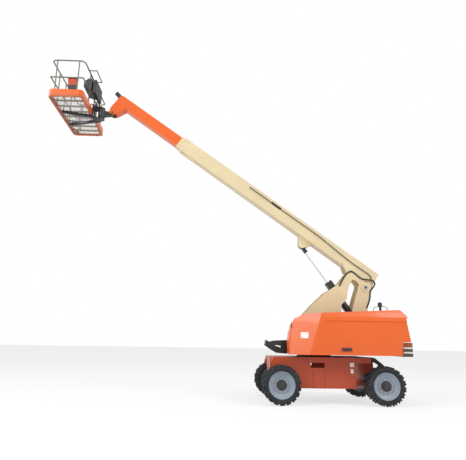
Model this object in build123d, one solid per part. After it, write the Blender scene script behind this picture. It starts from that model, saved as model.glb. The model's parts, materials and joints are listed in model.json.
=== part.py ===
from build123d import *
import math
import os

# Telescopic boom lift on four wheels. Millimetres, +Z up.
# The boom points to -X over the fixed drive axle, the counterweight and the steered axle are at +X.
# Places along X are first measured from the middle between the axles, and PLACE moves them at the end.

# Wheels and axles
wheelbase = 2480
overall_width = 2490
tyre_diameter = 914
tyre_width = 358
tyre_lug_height = 24
tyre_lugs = 9
tyre_sides = 36
rim_sides = 24
rim_diameter = 620
rim_disc_recess = 125
rim_disc_thickness = 14
rim_wall = 9
hub_diameter = 240
hub_depth = 80
kingpin_offset = 770
kingpin_diameter = 56
axle_beam_height = 170
axle_beam_depth = 150
axle_tube_diameter = 170
steering_arm = 190

# Chassis
deck_top = 1090
deck_depth = 135
deck_half_width = 800
deck_overhang = 180
front_setback = 40
belly_bottom = 360
belly_setback = 550
belly_taper = 250
guard_thickness = 12
keel_half_width = 400
keel_bottom = 690
plate_thickness = 16
slot_length = 340
slot_height = 120
slot_x = -305
slot_z = 900
lug_hole = 48
lug_across = 300

# Turntable
swing_x = -230
bearing_diameter = 880
bearing_gap = 6
bearing_height = 74
table_thickness = 30
table_front = -960
table_tail = 1560
table_half_width = 560
tray_half_width = 1140
tail_x = 2220
tail_half_width = 1120
counterweight_height = 330
counterweight_top = 1960
hood_inner = 470
hood_outer = 1215
hood_front = {"right": -1005, "left": -800}
hood_rear = 1895
hood_top = 2248
hood_slope = 2.87
hood_hinge_z = 2135
hood_wall = 9
hood_gap = 12
hood_notch = 1700

# Upright and boom
upright_plate = 25
upright_inner = 206
pivot_x = 1171
pivot_z = 2899
pivot_pin = 90
boom_elevation = 35.6
boom_width = 340
boom_depth = 370
boom_wall = 9
boom_rear = 120
boom_front = -6480
boom_bottom = 155
mid_clear = 11
mid_wall = 8
fly_clear = 11
fly_wall = 8
fly_front = -8822
mid_rear = -420
fly_rear = -760
mid_show = 90

# Lift cylinder
rod_pin_x = -500
rod_pin_z = 4050
barrel_pin_x = 1130
barrel_pin_z = 1750
barrel_diameter = 165
rod_diameter = 92
barrel_length = 1600
gland_length = 250
rod_length = 2050
cylinder_pin = 60

# Platform
platform_length = 2440
platform_depth = 914
platform_rail_height = 1100
platform_corner = 95
rail_tube = 34
floor_frame = 60
toe_board = 150
toe_thickness = 5
level_x = -5957
level_z = 7854
level_pin = 50
rotator_reach = 333
rotator_diameter = 190
rotator_height = 310
platform_reach = 680
platform_drop = 134
gate_width = 560

wheel_radius = tyre_diameter / 2
axle_x = wheelbase / 2
wheel_face = overall_width / 2
hub_inner = wheel_face - rim_disc_recess - rim_disc_thickness
deck_rear = -axle_x - deck_overhang
deck_front = axle_x - front_setback
belly_half_length = axle_x - belly_setback
rotator_x = level_x - rotator_reach
rotator_bottom = level_z + 1 - rotator_height / 2
rotator_top = rotator_bottom + rotator_height
platform_x = rotator_x - platform_reach
platform_z = level_z - platform_drop
table_bottom = deck_top + bearing_height
table_top = table_bottom + table_thickness
origin_x = ((platform_x - platform_depth / 2) + tail_x) / 2
PLACE = Pos(-origin_x, 0, 0)
os.makedirs("parts", exist_ok=True)


def save(name, shape):
    export_step(PLACE * shape, f"parts/{name}.step")


def plate_xz(points, y_low, y_high):
    face = make_face(Polyline(*points, close=True))
    return extrude(Plane.XZ.offset(-y_high) * face, amount=y_high - y_low)


def plate_xy(points, z_low, z_high):
    face = make_face(Polyline(*points, close=True))
    return extrude(Plane.XY.offset(z_low) * face, amount=z_high - z_low)


def block(x0, x1, y0, y1, z0, z1):
    return Pos((x0 + x1) / 2, (y0 + y1) / 2, (z0 + z1) / 2) * Box(x1 - x0, y1 - y0, z1 - z0)


def disc(diameter, sides):
    """A round face, or one with flat sides where sides is given."""
    return RegularPolygon(diameter / 2, sides) if sides else Circle(diameter / 2)


def shaft_y(x, z, diameter, y0, y1, sides=0):
    return extrude(Plane.XZ.offset(-y1) * (Pos(x, z) * disc(diameter, sides)), amount=y1 - y0)


def shaft_z(x, y, diameter, z0, z1, sides=0):
    return extrude(Plane.XY.offset(z0) * (Pos(x, y) * disc(diameter, sides)), amount=z1 - z0)


def shaft_x(x0, x1, diameter, sides=0):
    return extrude(Plane.YZ.offset(x0) * disc(diameter, sides), amount=x1 - x0)


def rounded_face(corners):
    """A face inside (across, up, radius) corners; a radius of 0 leaves its corner sharp."""
    count = len(corners)
    turns = []
    for i, (across, up, radius) in enumerate(corners):
        here = Vector(across, up)
        if radius == 0:
            turns.append((here, None, here))
            continue
        back = (Vector(corners[i - 1][0], corners[i - 1][1]) - here).normalized()
        ahead = (Vector(corners[(i + 1) % count][0], corners[(i + 1) % count][1]) - here).normalized()
        half = math.acos(max(-1, min(1, back.dot(ahead)))) / 2
        centre = here + (back + ahead).normalized() * (radius / math.sin(half))
        middle = centre + (here - centre).normalized() * radius
        cut = radius / math.tan(half)
        turns.append((here + back * cut, middle, here + ahead * cut))
    edges = []
    for i, (start, middle, end) in enumerate(turns):
        if middle is not None:
            edges.append(ThreePointArc(start, middle, end))
        following = turns[(i + 1) % count][0]
        if (following - end).length > 0.01:
            edges.append(Line(end, following))
    return make_face(edges)


def rounded_xz(corners, y_low, y_high):
    return extrude(Plane.XZ.offset(-y_high) * rounded_face(corners), amount=y_high - y_low)


def bent_bar(corners, size, steps=2):
    """An eight-sided bar along (x, y, z, radius) corners, each bend laid out in short straight steps."""
    path = [Vector(*corners[0][:3])]
    for i in range(1, len(corners) - 1):
        last, here, following = (Vector(*corners[j][:3]) for j in (i - 1, i, i + 1))
        back = (last - here).normalized()
        ahead = (following - here).normalized()
        half = math.acos(max(-1, min(1, back.dot(ahead)))) / 2
        radius = corners[i][3]
        centre = here + (back + ahead).normalized() * (radius / math.sin(half))
        across = (here + back * (radius / math.tan(half)) - centre).normalized()
        along = -back
        step = (math.pi - 2 * half) / steps
        reach = radius / math.cos(step / 2)
        for n in range(steps):
            turn = (n + 0.5) * step
            path.append(centre + across * (reach * math.cos(turn)) + along * (reach * math.sin(turn)))
    path.append(Vector(*corners[-1][:3]))
    route = Polyline(*path)
    section = RegularPolygon(size / 2, 8, major_radius=False, rotation=22.5)
    return sweep(Plane(origin=route @ 0, z_dir=route % 0) * section, path=route, transition=Transition.RIGHT)


def post(x, y, size, z0, z1):
    section = RegularPolygon(size / 2, 8, major_radius=False, rotation=22.5)
    return extrude(Plane.XY.offset(z0) * (Pos(x, y) * section), amount=z1 - z0)


# Wheels, drawn about their own axle with depth growing outwards, then set on their side
def drum(radius, y0, y1, sides=rim_sides, taper=0):
    """A wheel-sized drum with flat sides at the radius."""
    outline = RegularPolygon(radius, sides, major_radius=False)
    return extrude(Plane.XY.offset(y0) * outline, amount=y1 - y0, taper=taper)


def set_wheel(body, x, side):
    body = Rot(-90, 0, 0) * body
    return Pos(x, 0, wheel_radius) * (mirror(body, about=Plane.XZ) if side < 0 else body)


def tyre(x, side):
    bead = rim_diameter / 2
    crown = wheel_radius - tyre_lug_height
    inner, outer = wheel_face - tyre_width, wheel_face
    w = tyre_width
    body = drum(crown, inner, outer, tyre_sides)
    body = chamfer(body.faces().sort_by(Axis.Z)[0].edges() + body.faces().sort_by(Axis.Z)[-1].edges(), 45, 0.14 * w)
    body -= drum(bead, inner - 1, outer + 1)
    dish_depth = 0.1 * w
    dish_slope = math.degrees(math.atan(42 / dish_depth))
    body -= drum(bead + 42, inner, inner + dish_depth, taper=dish_slope)
    body -= drum(bead + 42, outer, outer - dish_depth, taper=dish_slope)
    lug_outline = [(0, -35), (0, 12), (0.42 * w, 35), (0.42 * w, -12)]
    lugs = []
    for row in range(2):
        for n in range(tyre_lugs):
            points = [(a, inner + 3 + b if row == 0 else outer - 3 - b) for b, a in lug_outline]
            lug = extrude(Plane.XZ.offset(crown - 44) * make_face(Polyline(*points, close=True)),
                          amount=tyre_lug_height + 44 - 1.5)
            lugs.append(Rot(0, 0, (n + 0.5 * row) * 360 / tyre_lugs) * lug)
    return set_wheel(body.fuse(*[solid for lug in lugs for solid in lug.solids()]), x, side)


def rim(x, side):
    bead = rim_diameter / 2 - 1
    inner, outer = wheel_face - 0.9 * tyre_width, wheel_face - 0.1 * tyre_width
    disc_face = wheel_face - rim_disc_recess
    body = drum(bead, inner, outer)
    body -= drum(bead - rim_wall, inner - 1, disc_face - rim_disc_thickness)
    body -= drum(bead - rim_wall - 12, disc_face, outer + 1)
    return set_wheel(body + shaft_z(0, 0, hub_diameter, disc_face - 1, disc_face + hub_depth), x, side)


wheel_places = {"rear": -axle_x, "front": axle_x}
sides = {"right": -1, "left": 1}
for end, x in wheel_places.items():
    for name, side in sides.items():
        save(f"tyre_{end}_{name}", tyre(x, side))
        save(f"rim_{end}_{name}", rim(x, side))

# Chassis
def chassis_plan(inset):
    """The belly's outline from above; its front corners taper so that a steered tyre passes them."""
    half = deck_half_width - inset
    rear = -belly_half_length + inset
    front = belly_half_length + belly_taper - inset
    start = belly_half_length - belly_taper - inset * 0.4
    narrow = keel_half_width - inset
    return [(rear, -half), (start + 190, -half), (front, -narrow), (front, narrow), (start + 190, half), (rear, half)]


def chassis_frame():
    t = plate_thickness
    frame = plate_xy(chassis_plan(0), belly_bottom, deck_top)
    frame += block(deck_rear, deck_front, -keel_half_width, keel_half_width, keel_bottom, deck_top)
    frame += block(deck_rear + 20, deck_front - 180, -deck_half_width, deck_half_width, deck_top - deck_depth, deck_top)
    frame -= plate_xy(chassis_plan(t), belly_bottom - 1, deck_top - t)
    front_wall = belly_half_length + belly_taper
    for x0, x1 in ((deck_rear + t, -belly_half_length - t / 2), (front_wall + t / 2, deck_front - t)):
        frame -= block(x0, x1, -keel_half_width + t, keel_half_width - t, keel_bottom + t, deck_top - t)
    for x0, x1 in ((deck_rear + 20 + t, -belly_half_length - t / 2), (front_wall + t / 2, deck_front - 180 - t)):
        for side in (-1, 1):
            y0, y1 = sorted((side * keel_half_width, side * (deck_half_width - t)))
            frame -= block(x0, x1, y0, y1, deck_top - deck_depth - 1, deck_top - t)
    for side in (-1, 1):
        y0, y1 = sorted((side * (deck_half_width - t), side * deck_half_width))
        frame += plate_xz([(deck_rear - 30, deck_top - 170), (deck_rear + 20, deck_top), (-belly_half_length + 5, deck_top),
                           (-belly_half_length + 5, belly_bottom), (-belly_half_length - 60, belly_bottom),
                           (-belly_half_length - 130, 640), (-axle_x + 260, 830), (-axle_x, 880),
                           (deck_rear + 10, 860)], y0, y1)
        y0, y1 = sorted((side * (deck_half_width - t - 1), side * (deck_half_width + 5)))
        frame -= block(slot_x - slot_length / 2, slot_x + slot_length / 2, y0, y1,
                       slot_z - slot_height / 2, slot_z + slot_height / 2)
        for x0, x1 in ((deck_rear, deck_rear + 24), (deck_front - 24, deck_front)):
            y = side * lug_across
            lug = block(x0, x1, y - 55, y + 55, keel_bottom - 95, keel_bottom)
            frame += lug - Pos(0, y, keel_bottom - 45) * shaft_x(x0 - 1, x1 + 1, lug_hole)
    return frame


def deck_guard():
    """Black walkway sheet on the deck's front half, curving down over the steered wheels."""
    t = guard_thickness
    start = swing_x + bearing_diameter / 2 + 60
    body = block(start, deck_front - 180, -deck_half_width, deck_half_width, deck_top, deck_top + t)
    for side in (-1, 1):
        y0, y1 = sorted((side * (keel_half_width + 4), side * deck_half_width))
        x = deck_front - 180
        body += rounded_xz([(x, deck_top - 60, 0), (x, deck_top + t, 0), (x + 90, deck_top + t, 150),
                            (x + 315, deck_top - 170, 60), (x + 330, deck_top - 215, 0), (x + 312, deck_top - 215, 0),
                            (x + 296, deck_top - 176, 50), (x + 100, deck_top - 60, 0)], y0, y1)
    return body


def drive_axle():
    x, z = -axle_x, wheel_radius
    body = shaft_y(x, z, axle_tube_diameter, -hub_inner + 60, hub_inner - 60, 8)
    body += plate_xz([(x - 190, z - 80), (x - 80, z - 190), (x + 80, z - 190), (x + 190, z - 80), (x + 190, z + 80),
                      (x + 80, z + 190), (x - 80, z + 190), (x - 190, z + 80)], -150, 150)
    body += shaft_y(x, z, 300, -hub_inner, -hub_inner + 150, 20)
    body += shaft_y(x, z, 300, hub_inner - 150, hub_inner, 20)
    for side in (-1, 1):
        y0, y1 = sorted((side * 250, side * 360))
        body += block(x - 90, x + 90, y0, y1, z + 40, keel_bottom)
    return body


def steer_axle():
    x, z = axle_x, wheel_radius
    beam_end = kingpin_offset - 110
    body = block(x - axle_beam_depth / 2, x + axle_beam_depth / 2, -beam_end, beam_end,
                 z - axle_beam_height / 2, z + axle_beam_height / 2)
    body += block(x - 150, x + 110, -125, 125, z + 60, keel_bottom)
    for side in (-1, 1):
        for low, high in ((z - 105, z - 72), (z + 72, z + 105)):
            y0, y1 = sorted((side * (beam_end - 40), side * (kingpin_offset + 55)))
            body += block(x - 55, x + 55, y0, y1, low, high)
            if low < z:
                body -= shaft_z(x, side * kingpin_offset, kingpin_diameter + 0.1, low - 1, high + 1)
            else:
                body -= shaft_z(x, side * kingpin_offset, kingpin_diameter + 4, low - 1, high + 1, 12)
    return body


def knuckle(side):
    x, z, y = axle_x, wheel_radius, side * kingpin_offset
    body = block(x - 50, x + 50, y - 50, y + 50, z - 66, z + 66)
    body += shaft_z(x, y, kingpin_diameter, z - 112, z + 112, 12)
    y0, y1 = sorted((y, side * hub_inner))
    body += block(x - 45, x + 45, y0, y1, z - 45, z + 45)
    body += block(x - steering_arm - 30, x, y - 22, y + 22, z - 20, z + 20)
    return body


save("chassis_frame", chassis_frame())
save("deck_guard", deck_guard())
save("drive_axle", drive_axle())
save("steer_axle", steer_axle())
for name, side in sides.items():
    save(f"knuckle_{name}", knuckle(side))
cyl_x = axle_x - steering_arm
steer_barrel = shaft_y(cyl_x, wheel_radius, 90, -210, 210, 8)
for side in (-1, 1):
    y0, y1 = sorted((side * 150, side * 195))
    steer_barrel += block(cyl_x + 20, axle_x - axle_beam_depth / 2, y0, y1, wheel_radius - 30, wheel_radius + 30)
steer_barrel -= shaft_y(cyl_x, wheel_radius, 40.4, -211, 211, 12)
save("steer_cylinder", steer_barrel)
save("steer_rod", shaft_y(cyl_x, wheel_radius, 40, -560, 560, 12))

# Swing bearing and turntable
lower_ring = shaft_z(swing_x, 0, bearing_diameter, deck_top, table_bottom - bearing_gap, 36)
lower_ring -= shaft_z(swing_x, 0, bearing_diameter - 300, deck_top - 1, table_bottom, 36)
save("swing_bearing", lower_ring)


def turntable_frame():
    outline = [(table_front, -table_half_width), (table_tail, -table_half_width), (table_tail, table_half_width),
               (table_front, table_half_width)]
    body = plate_xy(outline, table_bottom, table_top)
    for name, side in sides.items():
        y0, y1 = sorted((side * (table_half_width - 1), side * tray_half_width))
        body += block(hood_front[name] + 445, 1640, y0, y1, table_bottom, table_bottom + 22)
    body += shaft_z(swing_x, 0, bearing_diameter - 320, table_bottom - bearing_height + bearing_gap + 6, table_bottom + 1)
    return body


upright_outline = [(-880, table_top), (1130, table_top), (1184, 2251), (1252, 2647), (1330, 2930), (1290, 3010),
                   (1171, 3035), (1060, 3125), (940, 3215), (800, 3300), (690, 3270), (510, 3045), (332, 2905),
                   (87, 2748), (-285, 2404), (-700, 1960), (-880, 1700)]
upright_hole = [(490, 2150), (500, 2430), (646, 2573), (678, 2759), (727, 2931), (816, 3107), (936, 3069),
                (999, 2971), (966, 2855), (904, 2678), (785, 2289), (770, 2150)]


def upright():
    body = None
    for side in (-1, 1):
        y0, y1 = sorted((side * upright_inner, side * (upright_inner + upright_plate)))
        plate = plate_xz(upright_outline, y0, y1) - plate_xz(upright_hole, y0 - 1, y1 + 1)
        plate += shaft_y(pivot_x, pivot_z, 250, y0 - (14 if side < 0 else 0), y1 + (14 if side > 0 else 0), 16)
        plate -= shaft_y(pivot_x, pivot_z, pivot_pin + 0.1, y0 - 50, y1 + 50)
        body = plate if body is None else body + plate
    body += block(-860, -830, -upright_inner - 1, upright_inner + 1, table_top, 1660)
    body += block(1085, 1115, -upright_inner - 1, upright_inner + 1, table_top, 1560)
    return body


save("turntable_frame", turntable_frame())
save("upright", upright())
pin = shaft_y(pivot_x, pivot_z, pivot_pin, -upright_inner - upright_plate - 14, upright_inner + upright_plate + 14, 24)
for side in (-1, 1):
    y0, y1 = sorted((side * (upright_inner + upright_plate + 14), side * (upright_inner + upright_plate + 30)))
    pin += shaft_y(pivot_x, pivot_z, 130, y0, y1, 6)
save("boom_pivot_pin", pin)


def counterweight():
    reach = tail_x - swing_x
    low = table_bottom - 30
    top = low + counterweight_height
    body = shaft_z(swing_x, 0, 2 * reach, low, top)
    body &= block(hood_notch + 15, tail_x + 1, -tail_half_width, tail_half_width, low - 1, top + 1)
    body += block(table_tail, hood_notch + 60, -hood_inner + 25, hood_inner - 25, table_bottom, counterweight_top)
    return body


save("counterweight", counterweight())


def roof_z(x):
    return hood_top + (x - (hood_rear - 190)) * math.tan(math.radians(hood_slope))


def hood_cuts(front):
    """Planes that shape the nose, each by a point on it and the way it faces."""
    low_point = Vector(front + 585, hood_outer - 12, 1450)
    facet = Vector(-0.509, 0.844, 0.168).normalized()
    side_round = (facet + Vector(0, 1, 0)).normalized()
    front_round = (facet + Vector(-1, 0, 0.12)).normalized()
    front_point = Vector(front, 850, 1450)
    return [(low_point, facet), (low_point - side_round * 16, side_round), (front_point - front_round * 20, front_round)]


def hood_form(front, inset):
    """One hood as a filled shape on the +Y side; inset shrinks it all round for the hollow."""
    low = table_bottom - 14 - (60 if inset else 0)
    rear = hood_rear
    side = [(front + 5, low, 0), (front - 5, 1500, 300), (front + 84, 1885, 240), (front + 200, 2040, 150),
            (front + 400, roof_z(front + 675) - 14, 300), (front + 675, roof_z(front + 675), 0),
            (rear - 190, hood_top, 60), (rear - 60, 2115, 60), (rear - 38, 2050, 0), (rear - 81, 2034, 0),
            (rear, 1480, 0), (rear, low, 0)]
    profile = rounded_face([(x, z, 0 if inset else radius) for x, z, radius in side])
    across = [(hood_inner, low), (hood_inner, hood_top + 60), (hood_outer - 110, hood_top + 60), (hood_outer - 65, 2180),
              (hood_outer - 10, 2060), (hood_outer, 1975), (hood_outer, 1960), (hood_outer - 15, 1950),
              (hood_outer - 12, 1465), (hood_outer - 35, 1235), (hood_outer - 39, low)]
    section = make_face(Polyline(*across, close=True))
    if inset:
        profile = offset(profile, amount=-inset, kind=Kind.INTERSECTION)
        section = offset(section, amount=-inset, kind=Kind.INTERSECTION)
    body = extrude(Plane.XZ.offset(-hood_outer - 20) * profile, amount=hood_outer + 20)
    body &= extrude(Plane.YZ.offset(front - 50) * section, amount=rear - front + 100)
    for point, facing in hood_cuts(front):
        body -= Plane(origin=point - facing * inset, z_dir=facing) * Pos(0, 0, 1500) * Box(6000, 6000, 3000)
    notch_top = table_bottom - 30 + counterweight_height + hood_gap + inset
    body -= block(hood_notch - inset, rear + 200, hood_inner - 40, hood_outer + 10, low - 5, notch_top)
    return body


def hood(name):
    front = hood_front[name]
    hollow = hood_form(front, hood_wall)
    shell = hood_form(front, 0) - hollow
    open_side = block(front - 10, hood_rear + 10, hood_inner - 50, hood_inner + hood_wall + 5, table_bottom - 90,
                      hood_hinge_z - 7)
    shell -= Pos(0, -40, 0) * hollow & open_side
    shell -= block(front - 10, hood_rear + 50, hood_inner - 10, table_half_width + hood_gap, table_bottom - 20,
                   table_top + hood_gap)
    middle = (front + hood_rear) / 2
    shell += Pos(0, hood_inner + 14, hood_hinge_z) * shaft_x(middle - 450, middle + 450, 26)
    return mirror(shell, about=Plane.XZ) if name == "right" else shell


def inner_panels():
    """Closed sides of the bay between the hoods."""
    panels = None
    for name, side in sides.items():
        front = hood_front[name] + 45
        y0, y1 = sorted((side * (hood_inner - 14), side * (hood_inner - 6)))
        panel = plate_xz([(front, table_top), (front + 5, 1500), (front + 75, 1850), (front + 190, 2000),
                          (front + 320, 2080), (front + 450, hood_hinge_z - 20), (table_tail, hood_hinge_z - 20),
                          (table_tail, table_top)], y0, y1)
        panels = panel if panels is None else panels + panel
    return panels


for name in sides:
    save(f"hood_{name}", hood(name))
save("inner_panels", inner_panels())
save("engine_block", block(-150, 700, -1040, -600, table_top, 1830))
save("hydraulic_tank", block(-300, 350, 600, 1040, table_top, 1650))


def beacon():
    """Warning beacon with its wire guard, on a foot that follows the roof's slope."""
    foot = block(-190, 190, -40, 40, 0, 6)
    stem = shaft_z(0, 0, 62, 5, 120, 10)
    dome = shaft_z(0, 0, 108, 108, 218, 12)
    dome = chamfer(dome.faces().sort_by(Axis.Z)[-1].edges(), 24)
    guard = bent_bar([(-175, 0, 3, 0), (-175, 0, 95, 60), (-30, 0, 115, 0)], 14)
    guard += bent_bar([(175, 0, 3, 0), (175, 0, 95, 60), (30, 0, 115, 0)], 14)
    x = 1300
    return Pos(x, -900, roof_z(x)) * Rot(0, -hood_slope, 0) * (foot + stem + dome + guard)


save("beacon", beacon())

rest_outline = [(-1496, 1502), (-1420, 1450), (-1263, 1485), (-960, 1500), (-880, 1500), (-880, table_top),
                (table_front, table_top), (table_front, 1152), (-1206, 1171), (-1336, 1242), (-1520, 1365)]
rest_hole = [(-1250, 1350), (-1250, 1378), (-1080, 1345), (-1080, 1300)]
rest = None
for side in (-1, 1):
    y0, y1 = sorted((side * 120, side * 140))
    plate = plate_xz(rest_outline, y0, y1) - plate_xz(rest_hole, y0 - 1, y1 + 1)
    rest = plate if rest is None else rest + plate
rest += block(-1250, -1000, -121, 121, 1440, 1460)
rest += block(-900, -880, -121, 121, table_top, 1490)
rest += plate_xz([(-1496, 1500), (-1440, 1466), (-1470, 1380), (-1510, 1372)], -121, 121)
save("boom_rest", rest)

# Boom sections, drawn level with the pivot at the origin, then raised
RAISE = Pos(pivot_x, 0, pivot_z) * Rot(0, boom_elevation, 0)


def box_tube(x0, x1, width, depth, z_bottom, wall):
    outer = block(x0, x1, -width / 2, width / 2, z_bottom, z_bottom + depth)
    return outer - block(x0 - 1, x1 + 1, -width / 2 + wall, width / 2 - wall, z_bottom + wall, z_bottom + depth - wall)


mid_width = boom_width - 2 * boom_wall - 2 * mid_clear
mid_depth = boom_depth - 2 * boom_wall - 2 * mid_clear
mid_bottom = boom_bottom + boom_wall + mid_clear
fly_width = mid_width - 2 * mid_wall - 2 * fly_clear
fly_depth = mid_depth - 2 * mid_wall - 2 * fly_clear
fly_bottom = mid_bottom + mid_wall + fly_clear
e = math.radians(boom_elevation)


def along_boom(x, z):
    """A place in the world, in the level boom's own x and z."""
    dx, dz = x - pivot_x, z - pivot_z
    return dx * math.cos(e) - dz * math.sin(e), dx * math.sin(e) + dz * math.cos(e)


eye_x, eye_z = along_boom(rod_pin_x, rod_pin_z)
level_bx, level_bz = along_boom(level_x, level_z)


def base_boom():
    body = box_tube(boom_front, boom_rear, boom_width, boom_depth, boom_bottom, boom_wall)
    lug_out = boom_width / 2
    for side in (-1, 1):
        y0, y1 = sorted((side * (lug_out - boom_wall - 0.5), side * (lug_out + 16)))
        plate = plate_xz([(-880, boom_bottom + 60), (-640, boom_bottom - 120), (-500, boom_bottom - 60),
                          (-130, -30), (-90, -95), (0, -125), (90, -95), (150, 60), (boom_rear, boom_bottom + 120),
                          (-500, boom_bottom + 150)], y0, y1)
        plate -= shaft_y(0, 0, pivot_pin + 0.1, y0 - 1, y1 + 1)
        body += plate
        y0, y1 = sorted((side * 62, side * 92))
        fork = plate_xz([(eye_x - 240, boom_bottom + 2), (eye_x - 75, eye_z - 45), (eye_x - 30, eye_z - 75),
                         (eye_x + 40, eye_z - 75), (eye_x + 85, eye_z - 30), (eye_x + 230, boom_bottom + 2)], y0, y1)
        body += fork
    for x0, x1, drop in ((boom_front + 60, boom_front + 150, 55), (boom_front + 330, boom_front + 620, 40)):
        body += block(x0, x1, -boom_width / 2 + 20, -boom_width / 2 + 90, boom_bottom - drop, boom_bottom)
    return body


def fly_boom():
    """Inner boom with its neck; the neck is closed in front and below and open where the platform's arm turns."""
    top = fly_bottom + fly_depth
    half = fly_width / 2
    bend = fly_front + 375
    body = block(bend - 10, fly_rear, -half, half, fly_bottom, top)
    body += rounded_xz([(bend, fly_bottom, 0), (fly_front + 266, -62, 60), (fly_front + 188, -162, 40),
                        (fly_front + 59, -180, 60), (fly_front, -22, 120), (fly_front, top - 60, 50),
                        (fly_front + 50, top, 50), (bend + 250, top, 0), (bend + 250, fly_bottom, 0)], -half, half)
    body -= block(bend - 20, fly_rear + 1, -half + fly_wall, half - fly_wall, fly_bottom + fly_wall, top - fly_wall)
    body -= plate_xz([(bend + 200, fly_bottom + 10), (bend - 9, fly_bottom + 10), (fly_front + 256, -58),
                      (fly_front + 210, -300), (fly_front - 130, -300), (fly_front - 130, 10), (fly_front + 11, 10),
                      (fly_front + 11, top - 64), (fly_front + 52, top - 10), (bend + 200, top - 10)],
                     -half + 12, half - 12)
    return body - shaft_y(level_bx, level_bz, level_pin + 0.1, -half - 1, half + 1)


def tip_guard():
    """Black bumper roll at the fly's upper front corner."""
    top = fly_bottom + fly_depth
    roll = Pos(fly_front - 95, 0, top - 35) * Rot(0, 12, 0) * shaft_x(-120, 120, 124, 12)
    strap = block(fly_front - 60, fly_front, -45, 45, top - 130, top - 62)
    return roll + strap - block(fly_front, fly_front + 200, -100, 100, fly_bottom, top + 100)


save("base_boom", RAISE * base_boom())
mid = box_tube(boom_front - mid_show, mid_rear, mid_width, mid_depth, mid_bottom, mid_wall)
save("mid_boom", RAISE * mid)
save("fly_boom", RAISE * fly_boom())
save("tip_guard", RAISE * tip_guard())

# Lift cylinder, drawn from the barrel's pin towards the rod's eye
cyl_dx, cyl_dz = rod_pin_x - barrel_pin_x, rod_pin_z - barrel_pin_z
cyl_reach = math.hypot(cyl_dx, cyl_dz)
cyl_angle = math.degrees(math.atan2(cyl_dz, cyl_dx))
LIFT = Pos(barrel_pin_x, 0, barrel_pin_z) * Rot(0, -cyl_angle, 0)


gland_start = barrel_length - gland_length
barrel = shaft_x(40, gland_start + 1, barrel_diameter)
barrel += block(gland_start, barrel_length, -95, 95, -90, 90)
barrel += block(0, 90, -58, 58, -62, 62) + shaft_y(0, 0, 150, -58, 58, 10)
barrel += shaft_y(0, 0, cylinder_pin, -upright_inner + 0.5, upright_inner - 0.5)
barrel -= shaft_x(120, gland_start - 20, barrel_diameter - 30, 12)
barrel -= shaft_x(gland_start - 80, barrel_length + 1, rod_diameter + 5, 16)
rod = shaft_x(cyl_reach - rod_length, cyl_reach - 60, rod_diameter)
rod += shaft_x(cyl_reach - rod_length, cyl_reach - rod_length + 90, barrel_diameter - 50, 8)
rod += shaft_y(cyl_reach, 0, 120, -52, 52, 8) + block(cyl_reach - 230, cyl_reach - 30, -46, 46, -46, 46)
save("lift_cylinder_barrel", LIFT * barrel)
save("lift_cylinder_rod", LIFT * rod)

# Platform support and rotator
head_gap = fly_width / 2 - 12 - 3
support = shaft_y(level_x, level_z, 104, -head_gap, head_gap, 10)
support += shaft_y(level_x, level_z, level_pin, -fly_width / 2 - 12, fly_width / 2 + 12, 16)
support += plate_xz([(level_x - 20, level_z - 50), (level_x + 24, level_z - 44), (level_x + 24, level_z + 44),
                     (level_x - 30, level_z + 50), (rotator_x, rotator_top - 60), (rotator_x, rotator_bottom + 60)],
                    -60, 60)
support += shaft_z(rotator_x, 0, rotator_diameter, rotator_bottom, rotator_top - 20, 20)
support += shaft_z(rotator_x, 0, rotator_diameter - 30, rotator_top - 20, rotator_top)
save("platform_support", support)

boom_side = platform_x + platform_depth / 2
arm_top = platform_z
arm_low = platform_z - 62
bracket = block(boom_side, boom_side + 20, -210, 210, arm_low, rotator_top + 60)
for z0, z1 in ((rotator_bottom - 26, rotator_bottom - 6), (rotator_top + 6, rotator_top + 26)):
    bracket += plate_xy([(rotator_x + 90, -50), (rotator_x + 90, 50), (rotator_x + 30, 100), (boom_side + 18, 190),
                         (boom_side + 18, -190), (rotator_x + 30, -100)], z0, z1)
for side in (-1, 1):
    bracket += plate_xy([(boom_side + 20, side * 90), (boom_side + 20, side * 190),
                         (boom_side - platform_depth + 150, side * 430), (boom_side - platform_depth + 110, side * 360)],
                        arm_low, arm_top)
    y0, y1 = sorted((side * 150, side * 170))
    bracket += plate_xz([(boom_side + 19, rotator_bottom - 26), (rotator_x - 20, rotator_bottom - 26),
                         (boom_side + 19, arm_low)], y0, y1)
save("platform_bracket", bracket)

# Platform
px0, px1 = platform_x - platform_depth / 2, platform_x + platform_depth / 2
py = platform_length / 2


def cornered_plan(inset, z0, z1):
    """The platform's outline from above, its corners bevelled."""
    x0, x1, y0, y1 = px0 + inset, px1 - inset, -py + inset, py - inset
    c = platform_corner - 0.6 * inset
    points = []
    for x, y, along_x, along_y in ((x0, y0, 1, 1), (x1, y0, -1, 1), (x1, y1, -1, -1), (x0, y1, 1, -1)):
        corner = [(x, y + along_y * c), (x + along_x * 0.3 * c, y + along_y * 0.3 * c), (x + along_x * c, y)]
        points += corner if along_x == along_y else corner[::-1]
    return plate_xy(points, z0, z1)


def platform_floor():
    body = cornered_plan(0, platform_z, platform_z + floor_frame)
    body -= cornered_plan(45, platform_z - 1, platform_z + floor_frame + 1)
    ribs = 7
    for n in range(ribs):
        y = -py + (n + 1) * platform_length / (ribs + 1)
        body += block(px0 + 44, px1 - 44, y - 15, y + 15, platform_z + 10, platform_z + floor_frame - 6)
    return body


def toe_boards():
    z0, z1 = platform_z + floor_frame, platform_z + floor_frame + toe_board
    gate_cut = block(platform_x - gate_width / 2 - 24, platform_x + gate_width / 2 + 24, py - 60, py + 1, z0 - 1, z1 + 1)
    return cornered_plan(0, z0, z1) - cornered_plan(toe_thickness, z0 - 1, z1 + 1) - gate_cut


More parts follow.
